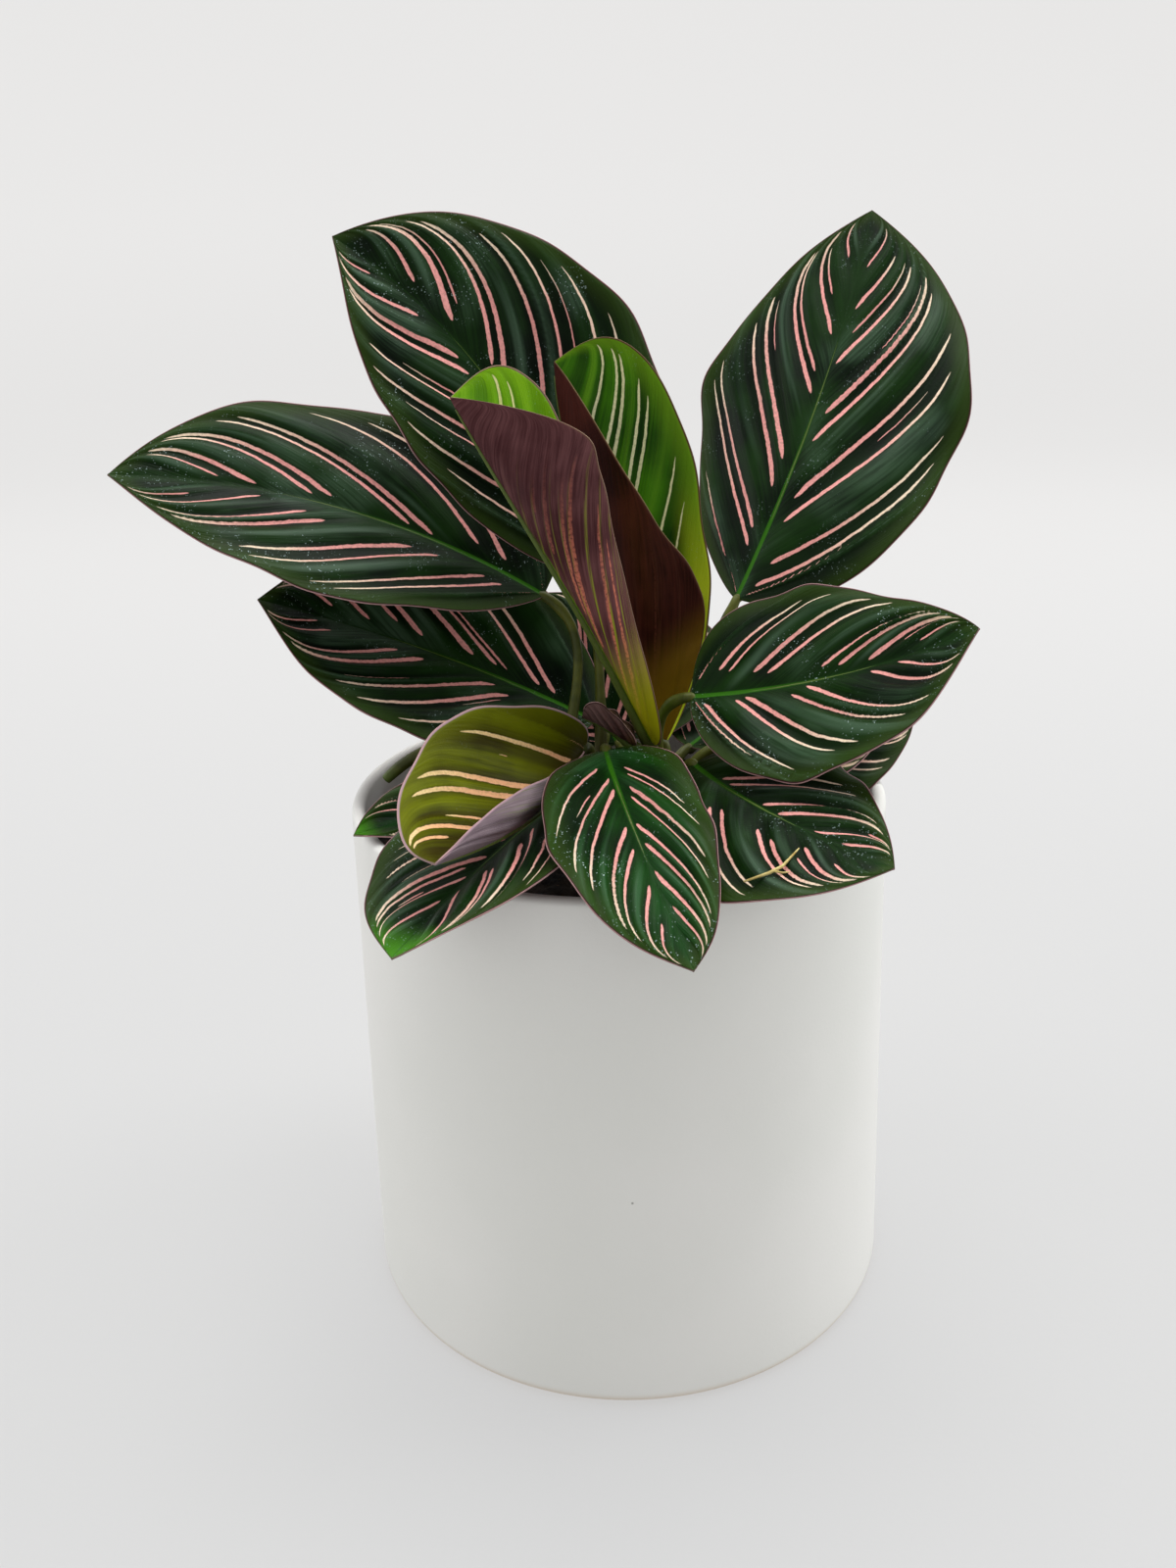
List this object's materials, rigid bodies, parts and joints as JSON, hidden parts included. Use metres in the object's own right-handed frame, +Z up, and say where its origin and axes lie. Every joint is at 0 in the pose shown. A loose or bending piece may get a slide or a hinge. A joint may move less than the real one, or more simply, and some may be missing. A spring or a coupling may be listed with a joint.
{
  "type": "potted pinstripe calathea",
  "caption": "Potted pinstripe calathea: dark green leaves with fine pink stripes and rolled young leaves, rising from soil in a straight matte off-white pot.",
  "frame": {"origin": "centre of the pot's flat underside", "axes": "+Z up along the pot's axis, +X to the right and +Y to the back as seen from the plant's front"},
  "size_m": [0.212, 0.1586, 0.2619],
  "materials": {
    "pot": "matte off-white glaze",
    "soil": "dark loose potting soil",
    "leaf": "dark green leaf with pink stripes, satin",
    "young_leaf": "yellow-green young leaf with cream stripes, satin",
    "rolled_leaf": "grey-mauve leaf underside, green inside, satin",
    "dry_leaf": "dry purple-brown sheath, matte",
    "stem": "olive stem, satin"
  },
  "bodies": {
    "root": {"pot": "pot", "soil": "soil", "leaf_upper_left": "leaf", "leaf_left": "leaf", "leaf_lower_left": "leaf", "leaf_upper_right": "leaf", "leaf_right": "leaf", "leaf_front_right": "leaf", "leaf_front": "leaf", "leaf_front_left": "leaf", "leaf_small_left": "leaf", "leaf_under_right": "leaf", "leaf_back_right": "leaf", "leaf_back_left": "leaf", "leaf_behind": "leaf", "leaf_behind_right": "leaf", "leaf_behind_left": "leaf", "rolled_leaf_front": "rolled_leaf", "rolled_leaf_back": "rolled_leaf", "dry_sheath": "dry_leaf", "young_leaf_left": "young_leaf", "cut_stem": "stem"}
  },
  "joints": []
}
